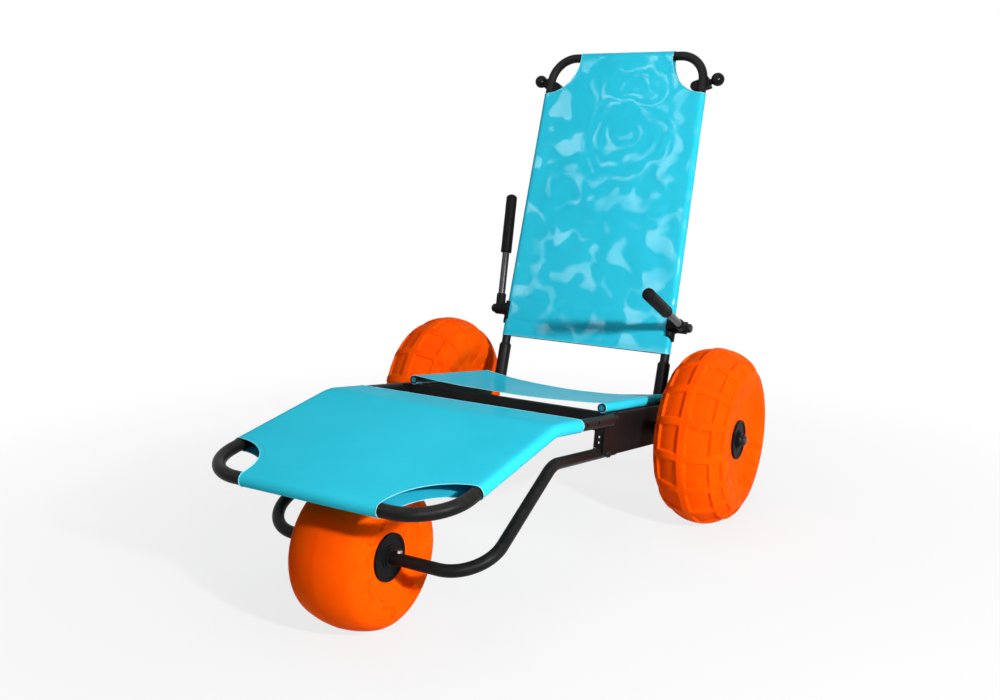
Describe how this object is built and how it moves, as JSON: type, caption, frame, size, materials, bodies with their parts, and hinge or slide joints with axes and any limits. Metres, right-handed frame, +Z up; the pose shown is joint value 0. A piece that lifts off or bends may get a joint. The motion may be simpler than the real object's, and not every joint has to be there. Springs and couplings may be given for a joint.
{
  "type": "beach wheelchair",
  "caption": "Low beach wheelchair with wide balloon-like wheels, fabric slings on bent tube frames, a tilting leg rest, a lift-out backrest and swing-up armrests.",
  "frame": {"origin": "on the floor, under the middle of the bounding box", "axes": "-Y is the front, where the feet go; +X is the occupant's left; +Z is up"},
  "size_m": [1.0252, 1.4906, 1.2343],
  "materials": {
    "wheel_orange": "satin moulded plastic",
    "sling_teal": "coated fabric with a soft gloss",
    "frame_black": "satin black coating",
    "black_plastic": "moulded, fine grain",
    "gloss_black": "polished",
    "grip_foam": "closed-cell foam",
    "bolt_steel": "plain",
    "bolt_black": "black",
    "plug_teal": "plain",
    "pale_plastic": "plain"
  },
  "bodies": {
    "chassis": {"side_plate_left": "frame_black", "side_plate_right": "frame_black", "front_cross_bar": "frame_black", "fork_struts": "frame_black", "rear_beam": "frame_black", "rear_axle": "bolt_steel", "axle_spacers": "black_plastic", "axle_washers": "bolt_steel", "axle_nuts": "black_plastic", "seat_tube_left": "frame_black", "seat_tube_right": "frame_black", "seat_tube_plugs": "plug_teal", "seat_sling": "sling_teal", "back_socket_left": "frame_black", "back_socket_right": "frame_black", "socket_plugs": "black_plastic", "fork_tube_left": "frame_black", "fork_tube_right": "frame_black", "fork_tube_plugs": "black_plastic", "fork_bolts": "bolt_black", "front_axle": "bolt_steel", "fork_clamp_bolts": "bolt_steel", "leg_hinge_bolts": "bolt_black", "leg_stop_pins": "bolt_black"},
    "backrest": {"back_frame": "frame_black", "back_cross_tube": "frame_black", "cross_tube_plugs": "black_plastic", "back_sleeve": "sling_teal", "arm_bracket_left": "black_plastic", "arm_bracket_right": "black_plastic", "arm_bolt_left": "bolt_black", "arm_bolt_right": "bolt_black", "top_clamp_left": "black_plastic", "top_clamp_right": "black_plastic"},
    "legrest": {"leg_frame": "frame_black", "leg_frame_plugs": "black_plastic", "leg_sleeve": "sling_teal"},
    "armrest_left": {"arm_knuckle_left": "black_plastic", "arm_tube_left": "frame_black", "arm_grip_left": "grip_foam"},
    "armrest_right": {"arm_knuckle_right": "black_plastic", "arm_tube_right": "frame_black", "arm_grip_right": "grip_foam"},
    "rear_wheel_left": {"rear_wheel_left": "wheel_orange", "rear_hubs_left": "black_plastic", "rear_bushes_left": "pale_plastic"},
    "rear_wheel_right": {"rear_wheel_right": "wheel_orange", "rear_hubs_right": "black_plastic", "rear_bushes_right": "pale_plastic"},
    "front_wheel": {"front_wheel": "wheel_orange", "front_hubs": "black_plastic", "front_bushes": "pale_plastic"},
    "knob_left": {"ball_knob_left": "gloss_black"},
    "knob_right": {"ball_knob_right": "gloss_black"}
  },
  "joints": [
    {"name": "rear_wheel_left_spin", "type": "hinge", "parent": "chassis", "child": "rear_wheel_left", "pos_m": [0.418, 0.3893, 0.232], "axis": [1, 0, 0], "continuous": true},
    {"name": "rear_wheel_right_spin", "type": "hinge", "parent": "chassis", "child": "rear_wheel_right", "pos_m": [-0.418, 0.3893, 0.232], "axis": [1, 0, 0], "continuous": true},
    {"name": "front_wheel_spin", "type": "hinge", "parent": "chassis", "child": "front_wheel", "pos_m": [0, -0.56652, 0.163], "axis": [1, 0, 0], "continuous": true},
    {"name": "legrest_tilt", "type": "hinge", "parent": "chassis", "child": "legrest", "pos_m": [0, 0.05662, 0.34136], "axis": [-1, 0, 0], "range_deg": [0, 75]},
    {"name": "backrest_lift", "type": "slide", "parent": "chassis", "child": "backrest", "axis": [0, 0.3061, 0.952], "range_m": [0, 0.1]},
    {"name": "armrest_left_swing", "type": "hinge", "parent": "backrest", "child": "armrest_left", "pos_m": [0.28794, 0.49623, 0.48979], "axis": [1, 0, 0], "range_deg": [-84, 0]},
    {"name": "armrest_right_swing", "type": "hinge", "parent": "backrest", "child": "armrest_right", "pos_m": [-0.28794, 0.49623, 0.48979], "axis": [1, 0, 0], "range_deg": [0, 84]},
    {"name": "knob_left_turn", "type": "hinge", "parent": "backrest", "child": "knob_left", "pos_m": [0.23732, 0.71436, 1.14031], "axis": [0.9397, 0.1047, 0.3256], "range_deg": [0, 360]},
    {"name": "knob_right_turn", "type": "hinge", "parent": "backrest", "child": "knob_right", "pos_m": [-0.23732, 0.71436, 1.14031], "axis": [-0.9397, 0.1047, 0.3256], "range_deg": [0, 360]}
  ]
}
